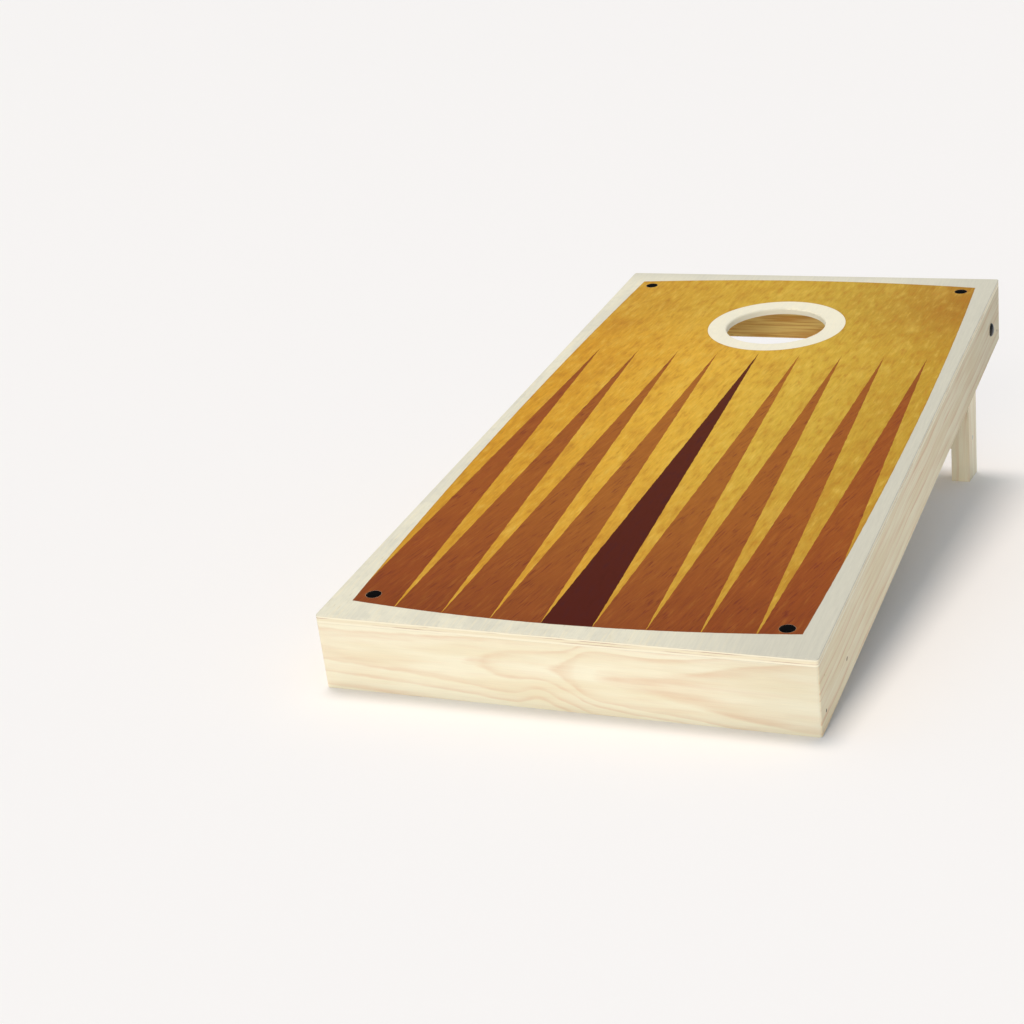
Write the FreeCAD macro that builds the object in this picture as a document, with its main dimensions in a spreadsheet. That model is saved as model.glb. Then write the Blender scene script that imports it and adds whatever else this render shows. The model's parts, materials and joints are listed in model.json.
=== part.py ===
import FreeCAD, Part
import math
import os
import re
import Sketcher

# Cornhole board, millimetres.
#
# Every piece is drawn in the board frame: X across the board, Y along it from the
# low player's end to the bag-hole end, Z square to the deck, with the origin on the
# bottom edge of the front rail. One placement then tilts the board about that edge,
# so that the front edge and the feet of the legs stand on Z = 0, and moves the
# origin to the middle of the footprint.

SIZES = {
    # whole board
    "board_width": 609.6,
    "board_length": 1219.2,
    "tilt_angle": 10.5,
    "corner_radius": 4.0,
    "edge_radius": 1.0,
    "rail_height": 88.9,
    "stock_thickness": 28.6,
    # deck
    "deck_thickness": 10.0,
    "hole_diameter": 152.4,
    "hole_from_rear": 228.6,
    "hole_lip_radius": 3.0,
    # rubber bumpers let into the deck
    "bumper_diameter": 19.0,
    "bumper_seat_depth": 5.0,
    "bumper_crown": 0.8,
    "bumper_from_side": 49.3,
    "bumper_from_end": 61.0,
    "seat_clearance": 0.05,
    # inside of the frame
    "brace_height": 63.5,
    "block_width": 28.6,
    "block_height": 70.0,
    "block_screw_offset": 20.0,
    # legs
    "leg_depth": 66.7,
    "bolt_from_rear": 82.55,
    "spacer_gap": 2.0,
    "stop_gap": 0.3,
    "crossbar_drop": 185.0,
    "crossbar_depth": 38.1,
    # pivot bolts, washers and wing nuts
    "bolt_diameter": 9.5,
    "bolt_length": 76.2,
    "bolt_end_chamfer": 1.0,
    "bolt_head_diameter": 20.6,
    "bolt_head_height": 5.0,
    "bolt_head_rim": 0.8,
    "bolt_neck_length": 6.0,
    "bore_clearance": 0.1,
    "washer_diameter": 25.4,
    "washer_thickness": 1.6,
    "running_gap": 0.3,
    "nut_clearance": 0.05,
    "nut_base_diameter": 17.5,
    "nut_top_diameter": 14.0,
    "nut_hub_height": 10.0,
    "nut_wing_spread": 39.0,
    "nut_wing_height": 20.0,
    "nut_wing_thickness": 3.6,
    "nut_wing_radius": 4.5,
    "nut_wing_root": 1.5,
    "nut_wing_overlap": 1.0,
    # pocket screws
    "pocket_angle": 15.0,
    "pocket_diameter": 9.5,
    "pocket_step": 25.0,
    "pocket_length": 50.0,
    "pocket_screw_length": 32.0,
    "pocket_screw_head": 8.6,
    "pocket_head_height": 2.4,
    "screw_diameter": 3.9,
    "screw_point_length": 6.0,
    # flat-head screws
    "flat_head_diameter": 8.4,
    "block_screw_length": 45.0,
    "crossbar_screw_length": 63.5,
    # finishing nails across the mitres
    "nail_diameter": 1.6,
    "nail_length": 50.0,
    "nail_head_diameter": 2.6,
    "nail_head_height": 0.9,
    "nail_set_depth": 1.2,
    "nail_from_end": 23.5,
    "nail_low": 21.0,
    "nail_high": 66.0,
}

RIGHT = 1
LEFT = -1
DECK_SCREWS_PER_SIDE = 4
DECK_SCREW_PITCH = 280.0
END_RAIL_SCREW_X = 190.0
BRACE_SCREW_X = 150.0
BRACE_SCREW_LEVELS = (0.3, 0.7)
WING_TURN = {LEFT: 65.0, RIGHT: 115.0}

document = FreeCAD.newDocument("cornhole_board")
Vector = FreeCAD.Vector
X_AXIS = Vector(1, 0, 0)
Y_AXIS = Vector(0, 1, 0)
Z_AXIS = Vector(0, 0, 1)
NODES = []


# ---------------------------------------------------------------- driving sizes

def make_sheet():
    sheet = document.addObject("Spreadsheet::Sheet", "sizes")
    for row, (alias, value) in enumerate(SIZES.items(), start=1):
        sheet.set("A%d" % row, alias)
        sheet.set("B%d" % row, str(value))
        sheet.setAlias("B%d" % row, alias)
    document.recompute()
    return sheet


SHEET = make_sheet()


def value_of(expression):
    """The number that an expression on the sheet gives now."""
    return float(SHEET.evalExpression(with_sheet(expression)))


def with_sheet(expression):
    """Write each alias in an expression as a reference to the sheet."""
    return re.sub("[a-z_]+", lambda word: refer_to(word.group()), expression)


def refer_to(word):
    return "sizes." + word if word in SIZES else word


def bind(item, path, expression):
    item.setExpression(path, with_sheet(expression))


# Places that several pieces share, as expressions on the sheet.
HALF_WIDTH = "(board_width / 2)"
INSIDE_X = "(board_width / 2 - stock_thickness)"
BOLT_Y = "(board_length - bolt_from_rear)"
BOLT_Z = "(rail_height / 2)"
LEG_OUTER_X = "(board_width / 2 - stock_thickness - spacer_gap)"
LEG_INNER_X = "(board_width / 2 - 2 * stock_thickness - spacer_gap)"
FLOOR_SLOPE = "tan(tilt_angle * 1 deg)"
FLAT_HEAD_HEIGHT = "((flat_head_diameter - screw_diameter) / 2)"


def board_placement():
    """Tilts the board about its front bottom edge and centres its footprint."""
    tilt = math.radians(value_of("tilt_angle"))
    height = value_of("rail_height + deck_thickness")
    front = -height * math.sin(tilt)
    rear = value_of("board_length") * math.cos(tilt)
    rotation = FreeCAD.Rotation(X_AXIS, math.degrees(tilt))
    return FreeCAD.Placement(Vector(0, -(front + rear) / 2, 0), rotation)


BOARD = board_placement()


def place(item, offset=None, rotation=None):
    """Put a finished piece at its place in the board frame, then tilt it."""
    local = FreeCAD.Placement(offset or Vector(), rotation or FreeCAD.Rotation())
    item.Placement = BOARD * local
    NODES.append(item)


# ------------------------------------------------------------- modelling helpers

def new_body(label):
    body = document.addObject("PartDesign::Body", label)
    body.Label = label
    return body


def origin_plane(body, role):
    for feature in body.Origin.OriginFeatures:
        if feature.Role == role:
            return feature
    raise ValueError(role)


def new_sketch(body, name, role="XY_Plane", lift=None):
    sketch = body.newObject("Sketcher::SketchObject", name)
    sketch.AttachmentSupport = [(origin_plane(body, role), "")]
    sketch.MapMode = "FlatFace"
    if lift:
        bind(sketch, "AttachmentOffset.Base.z", lift)
    return sketch


def fix_point(sketch, geometry, point, x_text, y_text):
    """Hold one sketch point at a place given by two expressions."""
    for kind, text in (("DistanceX", x_text), ("DistanceY", y_text)):
        if text is not None:
            datum = Sketcher.Constraint(kind, -1, 1, geometry, point, value_of(text))
            index = sketch.addConstraint(datum)
            bind(sketch, "Constraints[%d]" % index, text)


def draw_outline(sketch, corners, arcs=None):
    """A closed outline, counter-clockwise. arcs maps an edge to its arc's centre."""
    arcs = arcs or {}
    points = [Vector(value_of(x), value_of(y), 0) for x, y in corners]
    first = sketch.GeometryCount
    count = len(points)
    for index in range(count):
        start = points[index]
        end = points[(index + 1) % count]
        if index in arcs:
            centre = Vector(value_of(arcs[index][0]), value_of(arcs[index][1]), 0)
            circle = Part.Circle(centre, Z_AXIS, (start - centre).Length)
            angle = math.atan2(start.y - centre.y, start.x - centre.x)
            last = math.atan2(end.y - centre.y, end.x - centre.x)
            span = (last - angle) % (2 * math.pi)
            sketch.addGeometry(Part.ArcOfCircle(circle, angle, angle + span), False)
        else:
            sketch.addGeometry(Part.LineSegment(start, end), False)
    for index in range(count):
        following = first + (index + 1) % count
        sketch.addConstraint(Sketcher.Constraint("Coincident", first + index, 2, following, 1))
    for index, (x_text, y_text) in enumerate(corners):
        fix_point(sketch, first + index, 1, x_text, y_text)
    for index, (x_text, y_text) in arcs.items():
        chord = points[(index + 1) % count] - points[index]
        if abs(chord.x) > abs(chord.y):
            fix_point(sketch, first + index, 3, None, y_text)
        else:
            fix_point(sketch, first + index, 3, x_text, None)


def draw_circle(sketch, x_text, y_text, diameter):
    radius = value_of(diameter) / 2
    centre = Vector(value_of(x_text), value_of(y_text), 0)
    index = sketch.addGeometry(Part.Circle(centre, Z_AXIS, radius), False)
    fix_point(sketch, index, 3, x_text, y_text)
    datum = sketch.addConstraint(Sketcher.Constraint("Diameter", index, 2 * radius))
    bind(sketch, "Constraints[%d]" % datum, diameter)


def rectangle(x_low, y_low, x_high, y_high):
    return [(x_low, y_low), (x_high, y_low), (x_high, y_high), (x_low, y_high)]


def pad(body, sketch, length, name="pad"):
    feature = body.newObject("PartDesign::Pad", name)
    feature.Profile = sketch
    bind(feature, "Length", length)
    document.recompute()
    return feature


def pocket(body, sketch, depth=None, reverse=False, name="pocket"):
    """Cut a sketch into the body, and check that the cut removed material."""
    before = body.Shape.Volume
    feature = body.newObject("PartDesign::Pocket", name)
    feature.Profile = sketch
    feature.Reversed = reverse
    if depth is None:
        feature.Type = "ThroughAll"
    else:
        bind(feature, "Length", depth)
    document.recompute()
    if body.Shape.Volume >= before:
        raise ValueError("%s cuts nothing in %s" % (name, body.Label))
    return feature


def revolve(body, sketch, name="revolution"):
    feature = body.newObject("PartDesign::Revolution", name)
    feature.Profile = sketch
    feature.ReferenceAxis = (sketch, ["V_Axis"])
    feature.Angle = 360
    document.recompute()
    return feature


def dress_edges(body, kind, wanted, size, name):
    """Fillet or chamfer the edges of the body's shape for which wanted is true."""
    base = body.Tip
    names = ["Edge%d" % (index + 1) for index, edge in enumerate(base.Shape.Edges) if wanted(edge)]
    if not names:
        raise ValueError("no edges for %s in %s" % (name, body.Label))
    feature = body.newObject("PartDesign::" + kind, name)
    feature.Base = (base, names)
    bind(feature, "Radius" if kind == "Fillet" else "Size", size)
    document.recompute()
    return feature


def is_circle(edge, diameter=None):
    if not isinstance(edge.Curve, Part.Circle):
        return False
    return diameter is None or abs(edge.Curve.Radius * 2 - value_of(diameter)) < 0.01


def at_height(edge, height):
    box = edge.BoundBox
    return abs(box.ZMin - height) < 0.01 and abs(box.ZMax - height) < 0.01


# ------------------------------------------------------------------ pocket screws

def pocket_back(along, down):
    """Unit vector from a pocket screw's exit back to the mouth of its pocket."""
    angle = math.radians(value_of("pocket_angle"))
    return down * math.cos(angle) + along * math.sin(angle)


def cut_pocket(body, exit_point, back):
    """The slanted flat-bottomed bore that a pocket screw is driven through."""
    before = body.Shape.Volume
    bore = body.newObject("PartDesign::SubtractiveCylinder", "screw_pocket")
    bind(bore, "Radius", "pocket_diameter / 2")
    bind(bore, "Height", "pocket_length")
    start = exit_point + back * value_of("pocket_step")
    bore.Placement = FreeCAD.Placement(start, FreeCAD.Rotation(Z_AXIS, back))
    document.recompute()
    if body.Shape.Volume >= before:
        raise ValueError("a screw pocket cuts nothing in %s" % body.Label)


def pocket_screw_place(exit_point, back):
    start = exit_point + back * value_of("pocket_step")
    return FreeCAD.Placement(start, FreeCAD.Rotation(Z_AXIS, back * -1))


# --------------------------------------------------------------------------- deck

def make_deck():
    body = new_body("deck")
    outline = new_sketch(body, "deck_outline", lift="rail_height")
    draw_outline(outline, rectangle("0 - " + HALF_WIDTH, "0", HALF_WIDTH, "board_length"))
    pad(body, outline, "deck_thickness")
    dress_edges(body, "Fillet", is_upright, "corner_radius", "corners")
    hole = new_sketch(body, "bag_hole", lift="rail_height")
    draw_circle(hole, "0", "board_length - hole_from_rear", "hole_diameter")
    pocket(body, hole, reverse=True, name="bag_hole_cut")
    seats = new_sketch(body, "bumper_seats", lift="rail_height + deck_thickness")
    for side in (LEFT, RIGHT):
        for end in ("bumper_from_end", "board_length - bumper_from_end"):
            x_text = "%d * (board_width / 2 - bumper_from_side)" % side
            draw_circle(seats, x_text, end, "bumper_diameter + 2 * seat_clearance")
    pocket(body, seats, "bumper_seat_depth", name="bumper_seat_cut")
    top = value_of("rail_height + deck_thickness")
    dress_edges(body, "Fillet", lambda edge: at_height(edge, top) and is_circle(edge, "hole_diameter"),
                "hole_lip_radius", "hole_lip")
    dress_edges(body, "Fillet", lambda edge: at_height(edge, top) and on_outline(edge),
                "edge_radius", "top_edges")
    place(body)


def is_upright(edge):
    return edge.BoundBox.ZLength > 1 and edge.BoundBox.XLength < 0.01 and edge.BoundBox.YLength < 0.01


def on_outline(edge):
    """True for an edge that runs round the outside of the deck."""
    box = edge.BoundBox
    half = value_of(HALF_WIDTH) - value_of("corner_radius") - 0.01
    near_side = min(abs(box.XMin), abs(box.XMax)) > half
    near_front = box.YMax < value_of("corner_radius") + 0.01
    near_rear = box.YMin > value_of("board_length - corner_radius") - 0.01
    return near_side or near_front or near_rear


def make_bumper(end, side):
    """A rubber disc with a slight crown, seated in the deck."""
    body = new_body("%s_%s_bumper" % (end, side_name(side)))
    profile = new_sketch(body, "bumper_profile", "XZ_Plane")
    radius = value_of("bumper_diameter") / 2
    crown = value_of("bumper_crown")
    sphere = (radius ** 2 + crown ** 2) / (2 * crown)
    centre = ("0", "bumper_seat_depth + bumper_crown - %.6f" % sphere)
    corners = [
        ("0", "0"),
        ("bumper_diameter / 2", "0"),
        ("bumper_diameter / 2", "bumper_seat_depth"),
        ("0", "bumper_seat_depth + bumper_crown"),
    ]
    draw_outline(profile, corners, {2: centre})
    revolve(body, profile)
    from_end = value_of("bumper_from_end")
    along = from_end if end == "front" else value_of("board_length") - from_end
    across = side * value_of("board_width / 2 - bumper_from_side")
    floor = value_of("rail_height + deck_thickness - bumper_seat_depth")
    place(body, Vector(across, along, floor))


# -------------------------------------------------------------------------- rails

def side_name(side):
    return "right" if side == RIGHT else "left"


def mitred_rail(label, length):
    """A rail along local X with its outer face on Y = 0 and mitred, eased ends."""
    body = new_body(label)
    sketch = new_sketch(body, "rail_outline")
    half = "(%s / 2)" % length
    flank = "(corner_radius * (1 - sqrt(0.5)))"
    corners = [
        ("corner_radius - %s" % half, "0"),
        ("%s - corner_radius" % half, "0"),
        ("%s - %s" % (half, flank), flank),
        ("%s - stock_thickness" % half, "stock_thickness"),
        ("stock_thickness - %s" % half, "stock_thickness"),
        ("%s - %s" % (flank, half), flank),
    ]
    arcs = {
        1: ("%s - corner_radius" % half, "corner_radius"),
        5: ("corner_radius - %s" % half, "corner_radius"),
    }
    draw_outline(sketch, corners, arcs)
    pad(body, sketch, "rail_height")
    return body


def rail_screw_exit(along):
    """Where a deck screw leaves the middle of a rail's top edge, in the rail's frame."""
    return Vector(along, value_of("stock_thickness") / 2, value_of("rail_height"))


RAIL_BACK = pocket_back(Y_AXIS, Z_AXIS * -1)


def rail_frames():
    """Label, length alias and place in the board frame of each rail."""
    length = value_of("board_length")
    half = value_of(HALF_WIDTH)
    return {
        "front_rail": ("board_width", Vector(0, 0, 0), 0),
        "rear_rail": ("board_width", Vector(0, length, 0), 180),
        "right_rail": ("board_length", Vector(half, length / 2, 0), 90),
        "left_rail": ("board_length", Vector(-half, length / 2, 0), -90),
    }


def screw_stations(label):
    """Distances along a rail, from its middle, of the screws up into the deck."""
    if label in ("front_rail", "rear_rail"):
        return [-END_RAIL_SCREW_X, END_RAIL_SCREW_X]
    first = -DECK_SCREW_PITCH * (DECK_SCREWS_PER_SIDE - 1) / 2
    return [first + DECK_SCREW_PITCH * index for index in range(DECK_SCREWS_PER_SIDE)]


def cut_bolt_hole(body, side):
    """Bolt hole through a side rail, and the sunk nail heads of its two mitres."""
    hole = new_sketch(body, "bolt_hole", "XZ_Plane")
    along = "%d * (board_length / 2 - bolt_from_rear)" % side
    draw_circle(hole, along, BOLT_Z, "bolt_diameter + 2 * bore_clearance")
    pocket(body, hole, name="bolt_hole_cut")
    nails = new_sketch(body, "nail_recesses", "XZ_Plane")
    for end in (-1, 1):
        for height in ("nail_low", "nail_high"):
            along = "%d * (board_length / 2 - nail_from_end)" % end
            draw_circle(nails, along, height, "nail_head_diameter + 2 * bore_clearance")
    pocket(body, nails, "nail_set_depth + nail_head_height", name="nail_recess_cut")


def make_rails():
    for label, (length, offset, turn) in rail_frames().items():
        body = mitred_rail(label, length)
        for along in screw_stations(label):
            cut_pocket(body, rail_screw_exit(along), RAIL_BACK)
        if label == "right_rail":
            cut_bolt_hole(body, RIGHT)
        if label == "left_rail":
            cut_bolt_hole(body, LEFT)
        place(body, offset, FreeCAD.Rotation(Z_AXIS, turn))


# ------------------------------------------------------- brace and corner blocks

def brace_place():
    middle = value_of("board_length / 2 - stock_thickness / 2")
    return Vector(0, middle, value_of("rail_height - brace_height"))


def brace_end_exits():
    """Where the brace's screws enter the side rails, and the ways back out of the brace."""
    middle = value_of("stock_thickness") / 2
    exits = []
    for side in (LEFT, RIGHT):
        for level in BRACE_SCREW_LEVELS:
            point = Vector(side * value_of(INSIDE_X), middle, level * value_of("brace_height"))
            exits.append((point, pocket_back(Y_AXIS * -1, X_AXIS * -side)))
    return exits


def brace_top_exits():
    """The same for the screws up into the deck."""
    middle = value_of("stock_thickness") / 2
    back = pocket_back(Y_AXIS * -1, Z_AXIS * -1)
    return [(Vector(side * BRACE_SCREW_X, middle, value_of("brace_height")), back)
            for side in (LEFT, RIGHT)]


def make_brace():
    body = new_body("centre_brace")
    sketch = new_sketch(body, "brace_outline")
    draw_outline(sketch, rectangle("0 - " + INSIDE_X, "0", INSIDE_X, "stock_thickness"))
    pad(body, sketch, "brace_height")
    for exit_point, back in brace_end_exits() + brace_top_exits():
        cut_pocket(body, exit_point, back)
    place(body, brace_place())


def block_depth(end):
    """Depth along Y of a corner block. A rear block reaches up to the leg's back."""
    if end == "front":
        return "block_width"
    return "(bolt_from_rear - stock_thickness - leg_depth / 2 - stop_gap)"


def block_screw_heights():
    low = value_of("block_screw_offset")
    return [low, value_of("block_height") - low]


def make_block(label, end, side):
    """A block glued in a corner of the frame, bored for two flat-head screws."""
    body = new_body(label)
    depth = block_depth(end)
    sketch = new_sketch(body, "block_outline")
    draw_outline(sketch, rectangle("0", "0", "block_width", depth))
    pad(body, sketch, "block_height")
    bores = new_sketch(body, "screw_bores", "XZ_Plane")
    for height in block_screw_heights():
        draw_circle(bores, "block_width / 2", "%g" % height, "screw_diameter + 2 * bore_clearance")
    pocket(body, bores, name="screw_bore_cut")
    face = 0 if end == "rear" else value_of(depth)
    dress_edges(body, "Chamfer", lambda edge: is_circle(edge) and abs(edge.BoundBox.YMax - face) < 0.01,
                FLAT_HEAD_HEIGHT, "countersinks")
    inside = value_of(INSIDE_X)
    width = value_of("block_width")
    left_edge = inside - width if side == RIGHT else -inside
    front_edge = value_of("stock_thickness")
    if end == "rear":
        front_edge = value_of("board_length - stock_thickness") - value_of(depth)
    place(body, Vector(left_edge, front_edge, value_of("rail_height - block_height")))


# --------------------------------------------------------------------------- legs

def make_leg(side):
    """A leg hung on its pivot bolt, round at the top, its foot sawn to the floor."""
    body = new_body("%s_leg" % side_name(side))
    inner = LEG_INNER_X if side == RIGHT else "0 - " + LEG_OUTER_X
    outline = new_sketch(body, "leg_outline", "YZ_Plane", lift=inner)
    front = "(board_length - bolt_from_rear - leg_depth / 2)"
    back = "(board_length - bolt_from_rear + leg_depth / 2)"
    corners = [
        (front, "0 - %s * %s" % (front, FLOOR_SLOPE)),
        (back, "0 - %s * %s" % (back, FLOOR_SLOPE)),
        (back, BOLT_Z),
        (front, BOLT_Z),
    ]
    draw_outline(outline, corners, {2: (BOLT_Y, BOLT_Z)})
    pad(body, outline, "stock_thickness")
    bores = new_sketch(body, "leg_bores", "YZ_Plane", lift=inner)
    draw_circle(bores, BOLT_Y, BOLT_Z, "bolt_diameter + 2 * bore_clearance")
    draw_circle(bores, BOLT_Y, "rail_height / 2 - crossbar_drop", "screw_diameter + 2 * bore_clearance")
    pocket(body, bores, reverse=True, name="leg_bore_cut")
    face = side * value_of(LEG_OUTER_X)
    dress_edges(body, "Chamfer", lambda edge: is_screw_bore(edge) and abs(edge.BoundBox.XMax - face) < 0.01,
                FLAT_HEAD_HEIGHT, "countersink")
    place(body)


def is_screw_bore(edge):
    return is_circle(edge, "screw_diameter + 2 * bore_clearance")


def make_crossbar():
    bar = document.addObject("Part::Box", "leg_crossbar")
    bar.Label = "leg_crossbar"
    bind(bar, "Length", "2 * " + LEG_INNER_X)
    bind(bar, "Width", "crossbar_depth")
    bind(bar, "Height", "stock_thickness")
    document.recompute()
    along = value_of(BOLT_Y) - value_of("crossbar_depth") / 2
    up = value_of("rail_height / 2 - crossbar_drop - stock_thickness / 2")
    place(bar, Vector(-value_of(LEG_INNER_X), along, up))


# ------------------------------------------------- bolts, washers and wing nuts

def inward(side):
    """Rotation that turns local +Z to point from a side rail to the board's middle."""
    return FreeCAD.Rotation(Z_AXIS, X_AXIS * -side)


def bolt_point(x_position):
    return Vector(x_position, value_of(BOLT_Y), value_of(BOLT_Z))


def make_bolt(side):
    """A carriage bolt: domed head outside the rail, square neck in the wood."""
    body = new_body("%s_pivot_bolt" % side_name(side))
    profile = new_sketch(body, "bolt_profile", "XZ_Plane")
    rise = value_of("bolt_head_height - bolt_head_rim")
    radius = value_of("bolt_head_diameter") / 2
    sphere = (radius ** 2 + rise ** 2) / (2 * rise)
    corners = [
        ("0", "0 - bolt_head_height"),
        ("bolt_head_diameter / 2", "0 - bolt_head_rim"),
        ("bolt_head_diameter / 2", "0"),
        ("bolt_diameter / 2", "0"),
        ("bolt_diameter / 2", "bolt_length - bolt_end_chamfer"),
        ("bolt_diameter / 2 - bolt_end_chamfer", "bolt_length"),
        ("0", "bolt_length"),
    ]
    draw_outline(profile, corners, {0: ("0", "%.6f - bolt_head_height" % sphere)})
    revolve(body, profile)
    neck = new_sketch(body, "square_neck")
    half = "(bolt_diameter / 2)"
    draw_outline(neck, rectangle("0 - " + half, "0 - " + half, half, half))
    pad(body, neck, "bolt_neck_length", "neck_pad")
    place(body, bolt_point(side * value_of(HALF_WIDTH)), inward(side))


def make_washer(label, side, x_position):
    """A flat washer whose outward face is at x_position on the bolt's axis."""
    disc = document.addObject("Part::Cylinder", label + "_disc")
    bind(disc, "Radius", "washer_diameter / 2")
    bind(disc, "Height", "washer_thickness")
    bore = document.addObject("Part::Cylinder", label + "_bore")
    bind(bore, "Radius", "bolt_diameter / 2 + bore_clearance")
    bind(bore, "Height", "washer_thickness")
    washer = document.addObject("Part::Cut", label)
    washer.Label = label
    washer.Base = disc
    washer.Tool = bore
    document.recompute()
    place(washer, bolt_point(x_position), inward(side))


def make_wing_nut(side):
    """A wing nut: a tapered hub with two rounded wings and a bore for the bolt."""
    body = new_body("%s_wing_nut" % side_name(side))
    hub = new_sketch(body, "hub_profile", "XZ_Plane")
    corners = [
        ("0", "0"),
        ("nut_base_diameter / 2", "0"),
        ("nut_top_diameter / 2", "nut_hub_height"),
        ("0", "nut_hub_height"),
    ]
    draw_outline(hub, corners)
    revolve(body, hub, "hub")
    wings = new_sketch(body, "wing_outline", "XZ_Plane", lift="0 - nut_wing_thickness / 2")
    for direction in (1, -1):
        draw_outline(wings, *wing_outline(direction))
    pad(body, wings, "nut_wing_thickness", "wings")
    bore = new_sketch(body, "nut_bore")
    draw_circle(bore, "0", "0", "bolt_diameter + 2 * nut_clearance")
    pocket(body, bore, reverse=True, name="nut_bore_cut")
    start = value_of(LEG_INNER_X + " - 2 * running_gap - washer_thickness")
    turn = FreeCAD.Rotation(Z_AXIS, WING_TURN[side])
    place(body, bolt_point(side * start), inward(side) * turn)


def wing_outline(direction):
    """One wing of the nut as corners and arcs, mirrored for direction -1."""
    tip = "(nut_wing_spread / 2)"
    inner = "(nut_wing_spread / 2 - 2 * nut_wing_radius)"
    centre = "(nut_wing_spread / 2 - nut_wing_radius)"
    round_start = "(nut_wing_height - nut_wing_radius)"
    root = "(nut_top_diameter / 2 - nut_wing_overlap)"
    corners = [
        (root, "nut_wing_root"),
        (centre, "nut_hub_height / 2"),
        (tip, round_start),
        (inner, round_start),
        (root, "nut_hub_height - nut_wing_overlap / 2"),
    ]
    if direction == 1:
        return corners, {2: (centre, round_start)}
    mirrored = [("0 - " + x_text, y_text) for x_text, y_text in reversed(corners)]
    return mirrored, {1: ("0 - " + centre, round_start)}


# ---------------------------------------------------------------- nails and screws

def fastener_pattern(name, corners):
    """One fastener, as a turned body that the groups copy. Its point is at +Z."""
    body = new_body(name)
    profile = new_sketch(body, name + "_profile", "XZ_Plane")
    draw_outline(profile, corners)
    revolve(body, profile)
    return body


def pocket_screw_pattern():
    shank = "(screw_diameter / 2)"
    return fastener_pattern("pocket_screw_pattern", [
        ("0", "0 - pocket_head_height"),
        ("pocket_screw_head / 2", "0 - pocket_head_height"),
        ("pocket_screw_head / 2", "0"),
        (shank, "0"),
        (shank, "pocket_screw_length - screw_point_length"),
        ("0", "pocket_screw_length"),
    ])


def flat_screw_pattern(name, length):
    shank = "(screw_diameter / 2)"
    return fastener_pattern(name, [
        ("0", "0"),
        ("flat_head_diameter / 2", "0"),
        (shank, FLAT_HEAD_HEIGHT),
        (shank, "%s - screw_point_length" % length),
        ("0", length),
    ])


def nail_pattern():
    shank = "(nail_diameter / 2)"
    return fastener_pattern("nail_pattern", [
        ("0", "0"),
        ("nail_head_diameter / 2", "0"),
        ("nail_head_diameter / 2", "nail_head_height"),
        (shank, "nail_head_height"),
        (shank, "nail_length - 2 * nail_diameter"),
        ("0", "nail_length"),
    ])


def fastener_group(label, pattern, placements):
    """Copies of one fastener, as separate solids that share a node."""
    group = document.addObject("Part::Feature", label)
    group.Label = label
    solids = []
    for placement in placements:
        solid = pattern.Shape.copy()
        solid.Placement = placement
        solids.append(solid)
    group.Shape = Part.Compound(solids)
    place(group)


def deck_screw_places():
    places = []
    for label, (_, offset, turn) in rail_frames().items():
        rail = FreeCAD.Placement(offset, FreeCAD.Rotation(Z_AXIS, turn))
        for along in screw_stations(label):
            places.append(rail * pocket_screw_place(rail_screw_exit(along), RAIL_BACK))
    brace = FreeCAD.Placement(brace_place(), FreeCAD.Rotation())
    for exit_point, back in brace_top_exits():
        places.append(brace * pocket_screw_place(exit_point, back))
    return places


def brace_screw_places():
    brace = FreeCAD.Placement(brace_place(), FreeCAD.Rotation())
    return [brace * pocket_screw_place(point, back) for point, back in brace_end_exits()]


def block_screw_places():
    places = []
    centre = value_of(INSIDE_X) - value_of("block_width") / 2
    bottom = value_of("rail_height - block_height")
    for end, direction in (("front", -1), ("rear", 1)):
        face = value_of("stock_thickness") + value_of(block_depth("front"))
        if end == "rear":
            face = value_of("board_length - stock_thickness") - value_of(block_depth("rear"))
        turn = FreeCAD.Rotation(Z_AXIS, Y_AXIS * direction)
        for side in (LEFT, RIGHT):
            for height in block_screw_heights():
                places.append(FreeCAD.Placement(Vector(side * centre, face, bottom + height), turn))
    return places


def crossbar_screw_places():
    height = value_of("rail_height / 2 - crossbar_drop")
    outer = value_of(LEG_OUTER_X)
    return [FreeCAD.Placement(Vector(side * outer, value_of(BOLT_Y), height), inward(side))
            for side in (LEFT, RIGHT)]


def nail_places():
    places = []
    face = value_of(HALF_WIDTH) - value_of("nail_set_depth")
    for side in (LEFT, RIGHT):
        for along in (value_of("nail_from_end"), value_of("board_length - nail_from_end")):
            for height in (value_of("nail_low"), value_of("nail_high")):
                places.append(FreeCAD.Placement(Vector(side * face, along, height), inward(side)))
    return places


# ----------------------------------------------------------------------- assembly

def make_board():
    make_deck()
    make_rails()
    make_brace()
    for side in (LEFT, RIGHT):
        name = side_name(side)
        make_block("front_%s_corner_block" % name, "front", side)
        make_block("rear_%s_stop_block" % name, "rear", side)
        for end in ("front", "rear"):
            make_bumper(end, side)
        make_leg(side)
        make_bolt(side)
        make_washer(name + "_spacer_washer", side, side * value_of(INSIDE_X))
        nut_washer = side * value_of(LEG_INNER_X + " - running_gap")
        make_washer(name + "_nut_washer", side, nut_washer)
        make_wing_nut(side)
    make_crossbar()
    pocket_screw = pocket_screw_pattern()
    fastener_group("deck_screws", pocket_screw, deck_screw_places())
    fastener_group("brace_screws", pocket_screw, brace_screw_places())
    block_screw = flat_screw_pattern("block_screw_pattern", "block_screw_length")
    fastener_group("block_screws", block_screw, block_screw_places())
    crossbar_screw = flat_screw_pattern("crossbar_screw_pattern", "crossbar_screw_length")
    fastener_group("crossbar_screws", crossbar_screw, crossbar_screw_places())
    fastener_group("mitre_nails", nail_pattern(), nail_places())
    document.recompute()


def check_document():
    for item in document.Objects:
        for state in item.State:
            if state in ("Invalid", "Error"):
                raise ValueError("%s is %s" % (item.Label, state))
    for node in NODES:
        if node.Shape.isNull() or not node.Shape.isValid():
            raise ValueError("%s has no valid shape" % node.Label)


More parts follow.
